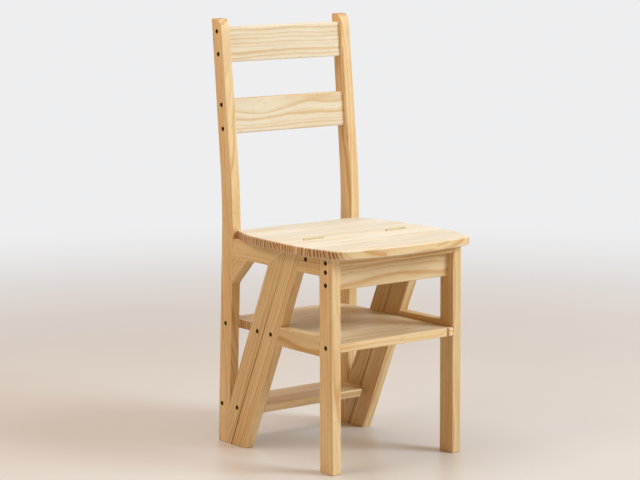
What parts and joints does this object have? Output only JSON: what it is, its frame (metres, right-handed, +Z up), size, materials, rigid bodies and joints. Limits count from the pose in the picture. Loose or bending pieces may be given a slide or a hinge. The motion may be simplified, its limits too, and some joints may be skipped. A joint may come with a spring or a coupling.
{
  "type": "folding step chair",
  "caption": "Pine dining chair with a low shelf; its rear half swings forward on seat hinges to make a short ladder.",
  "frame": {"origin": "on the floor under the middle of the chair's footprint, seen from above", "axes": "+X to the right as seen from the front, +Y from the front edge of the seat to the back, +Z up"},
  "size_m": [0.3886, 0.4596, 0.9],
  "materials": {
    "pine": "clear satin lacquer over planed pine, growth rings and a few small knots showing",
    "steel": "black-oxide",
    "hinge_brass": "satin"
  },
  "bodies": {
    "front_frame": {"front_leg_left": "pine", "front_upper_rail_left": "pine", "front_lower_rail_left": "pine", "front_stile_left": "pine", "front_leg_right": "pine", "front_upper_rail_right": "pine", "front_lower_rail_right": "pine", "front_stile_right": "pine", "front_apron": "pine", "seat_bearer": "pine", "seat_front": "pine", "middle_shelf_front": "pine", "hinge_leaf_front_left": "hinge_brass", "hinge_leaf_front_right": "hinge_brass", "hinge_pin_left": "steel", "hinge_pin_right": "steel", "screw_left_9_middle_shelf_front": "steel", "screw_left_10_seat_bearer": "steel", "screw_left_11_seat_bearer": "steel", "screw_left_12_front_apron": "steel", "screw_left_13_front_apron": "steel", "screw_left_14_middle_shelf_front": "steel", "screw_right_9_middle_shelf_front": "steel", "screw_right_10_seat_bearer": "steel", "screw_right_11_seat_bearer": "steel", "screw_right_12_front_apron": "steel", "screw_right_13_front_apron": "steel", "screw_right_14_middle_shelf_front": "steel"},
    "rear_frame": {"rear_post_left": "pine", "rear_upper_rail_left": "pine", "rear_brace_left": "pine", "rear_stile_left": "pine", "rear_post_right": "pine", "rear_upper_rail_right": "pine", "rear_brace_right": "pine", "rear_stile_right": "pine", "top_back_slat": "pine", "middle_back_slat": "pine", "seat_rear": "pine", "middle_shelf_rear": "pine", "lower_shelf": "pine", "hinge_leaf_rear_left": "hinge_brass", "hinge_leaf_rear_right": "hinge_brass", "screw_left_1_top_back_slat": "steel", "screw_left_2_top_back_slat": "steel", "screw_left_3_middle_back_slat": "steel", "screw_left_4_middle_back_slat": "steel", "screw_left_5_middle_shelf_rear": "steel", "screw_left_6_lower_shelf": "steel", "screw_left_7_middle_shelf_rear": "steel", "screw_left_8_lower_shelf": "steel", "screw_right_1_top_back_slat": "steel", "screw_right_2_top_back_slat": "steel", "screw_right_3_middle_back_slat": "steel", "screw_right_4_middle_back_slat": "steel", "screw_right_5_middle_shelf_rear": "steel", "screw_right_6_lower_shelf": "steel", "screw_right_7_middle_shelf_rear": "steel", "screw_right_8_lower_shelf": "steel"}
  },
  "joints": [
    {"name": "seat_hinge", "type": "hinge", "parent": "front_frame", "child": "rear_frame", "pos_m": [0, -0.03985, 0.4602], "axis": [1, 0, 0], "range_deg": [0, 180]}
  ]
}
